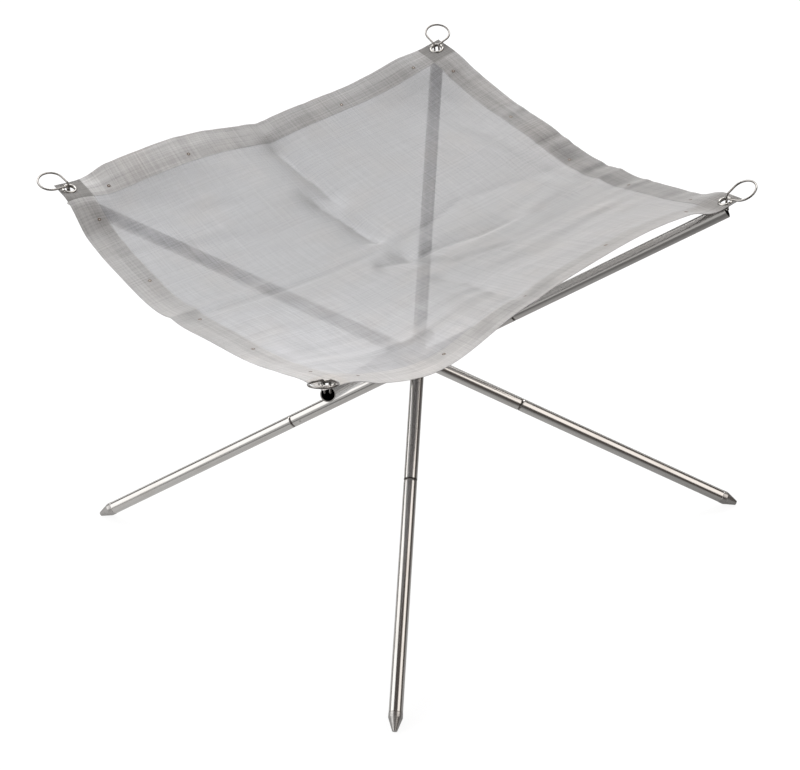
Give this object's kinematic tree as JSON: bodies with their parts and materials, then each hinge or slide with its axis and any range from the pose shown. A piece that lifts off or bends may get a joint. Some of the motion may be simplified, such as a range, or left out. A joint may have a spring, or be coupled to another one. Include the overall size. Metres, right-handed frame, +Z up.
{
  "type": "folding mesh fire pit",
  "caption": "Sheet of steel wire cloth hung by its corners from four crossed tubes that fold about a hub, with plug-in legs and arms and sprung ring clips.",
  "frame": {"origin": "on the ground under the hub, at the centre of the four feet", "axes": "+Z up; pole a rises towards +X, pole c towards +Y, and the front corner of the sheet points towards -Y"},
  "size_m": [0.6246, 0.6241, 0.3581],
  "materials": {
    "tube_steel": "polished stainless steel tube with long streaked reflections",
    "foot_steel": "turned stainless steel, slightly darker than the tubes",
    "hub_alloy": "machined aluminium block",
    "fastener_steel": "plain stainless steel fasteners",
    "wire_cloth": "fine plain-weave stainless wire cloth, half transparent, with heat-tinted spot welds",
    "eyelet_nickel": "nickel plated eyelet",
    "spring_wire": "bright spring steel wire"
  },
  "bodies": {
    "hub": {"hub_block": "hub_alloy", "pivot_screws": "fastener_steel", "spacer_washers": "fastener_steel", "head_washers": "fastener_steel"},
    "pole_a": {"middle_tube_a": "tube_steel"},
    "pole_b": {"middle_tube_b": "tube_steel"},
    "pole_c": {"middle_tube_c": "tube_steel"},
    "pole_d": {"middle_tube_d": "tube_steel"},
    "leg_a": {"lower_tube_a": "tube_steel", "foot_plug_a": "foot_steel"},
    "leg_b": {"lower_tube_b": "tube_steel", "foot_plug_b": "foot_steel"},
    "leg_c": {"lower_tube_c": "tube_steel", "foot_plug_c": "foot_steel"},
    "leg_d": {"lower_tube_d": "tube_steel", "foot_plug_d": "foot_steel"},
    "arm_a": {"upper_tube_a": "tube_steel"},
    "arm_b": {"upper_tube_b": "tube_steel"},
    "arm_c": {"upper_tube_c": "tube_steel"},
    "arm_d": {"upper_tube_d": "tube_steel"},
    "sheet": {"mesh_sheet": "wire_cloth", "eyelet_a": "eyelet_nickel", "eyelet_b": "eyelet_nickel", "eyelet_c": "eyelet_nickel", "eyelet_d": "eyelet_nickel", "back_washer_a": "eyelet_nickel", "back_washer_b": "eyelet_nickel", "back_washer_c": "eyelet_nickel", "back_washer_d": "eyelet_nickel"},
    "clip_a": {"spring_clip_a": "spring_wire"},
    "clip_b": {"spring_clip_b": "spring_wire"},
    "clip_c": {"spring_clip_c": "spring_wire"},
    "clip_d": {"spring_clip_d": "spring_wire"}
  },
  "joints": [
    {"name": "fold_a", "type": "hinge", "parent": "hub", "child": "pole_a", "pos_m": [0, -0.0145, 0.17173], "axis": [0, -1, 0], "range_deg": [0, 60]},
    {"name": "fold_b", "type": "hinge", "parent": "hub", "child": "pole_b", "pos_m": [0, 0.0145, 0.17173], "axis": [0, 1, 0], "range_deg": [0, 60]},
    {"name": "fold_c", "type": "hinge", "parent": "hub", "child": "pole_c", "pos_m": [0.0145, 0, 0.17173], "axis": [1, 0, 0], "range_deg": [0, 60]},
    {"name": "fold_d", "type": "hinge", "parent": "hub", "child": "pole_d", "pos_m": [-0.0145, 0, 0.17173], "axis": [-1, 0, 0], "range_deg": [0, 60]},
    {"name": "leg_draw_a", "type": "slide", "parent": "pole_a", "child": "leg_a", "axis": [-0.8712, 0, -0.4909], "range_m": [0, 0.025]},
    {"name": "leg_draw_b", "type": "slide", "parent": "pole_b", "child": "leg_b", "axis": [0.8712, 0, -0.4909], "range_m": [0, 0.025]},
    {"name": "leg_draw_c", "type": "slide", "parent": "pole_c", "child": "leg_c", "axis": [0, -0.8712, -0.4909], "range_m": [0, 0.025]},
    {"name": "leg_draw_d", "type": "slide", "parent": "pole_d", "child": "leg_d", "axis": [0, 0.8712, -0.4909], "range_m": [0, 0.025]},
    {"name": "arm_draw_a", "type": "slide", "parent": "pole_a", "child": "arm_a", "axis": [0.8712, 0, 0.4909], "range_m": [0, 0.025]},
    {"name": "arm_draw_b", "type": "slide", "parent": "pole_b", "child": "arm_b", "axis": [-0.8712, 0, 0.4909], "range_m": [0, 0.025]},
    {"name": "arm_draw_c", "type": "slide", "parent": "pole_c", "child": "arm_c", "axis": [0, 0.8712, 0.4909], "range_m": [0, 0.025]},
    {"name": "arm_draw_d", "type": "slide", "parent": "pole_d", "child": "arm_d", "axis": [0, -0.8712, 0.4909], "range_m": [0, 0.025]},
    {"name": "sheet_lift", "type": "slide", "parent": "hub", "child": "sheet", "axis": [0, 0, 1], "range_m": [0, 0.4]},
    {"name": "clip_turn_a", "type": "hinge", "parent": "sheet", "child": "clip_a", "pos_m": [0.28663, -0.0145, 0.33323], "axis": [0.8712, 0, 0.4909], "range_deg": [-5, 5]},
    {"name": "clip_turn_b", "type": "hinge", "parent": "sheet", "child": "clip_b", "pos_m": [-0.28663, 0.0145, 0.33323], "axis": [-0.8712, 0, 0.4909], "range_deg": [-5, 5]},
    {"name": "clip_turn_c", "type": "hinge", "parent": "sheet", "child": "clip_c", "pos_m": [0.0145, 0.28663, 0.33323], "axis": [0, 0.8712, 0.4909], "range_deg": [-5, 5]},
    {"name": "clip_turn_d", "type": "hinge", "parent": "sheet", "child": "clip_d", "pos_m": [-0.0145, -0.28663, 0.33323], "axis": [0, -0.8712, 0.4909], "range_deg": [-5, 5]}
  ],
  "couplings": [
    {"joint": "fold_b", "follows": "fold_a", "ratio": 1},
    {"joint": "fold_c", "follows": "fold_a", "ratio": 1},
    {"joint": "fold_d", "follows": "fold_a", "ratio": 1},
    {"joint": "arm_draw_a", "follows": "fold_a", "m_per_rad": 0.0236},
    {"joint": "arm_draw_b", "follows": "fold_a", "m_per_rad": 0.0236},
    {"joint": "arm_draw_c", "follows": "fold_a", "m_per_rad": 0.0236},
    {"joint": "arm_draw_d", "follows": "fold_a", "m_per_rad": 0.0236},
    {"joint": "sheet_lift", "follows": "fold_a", "m_per_rad": 0.377}
  ]
}
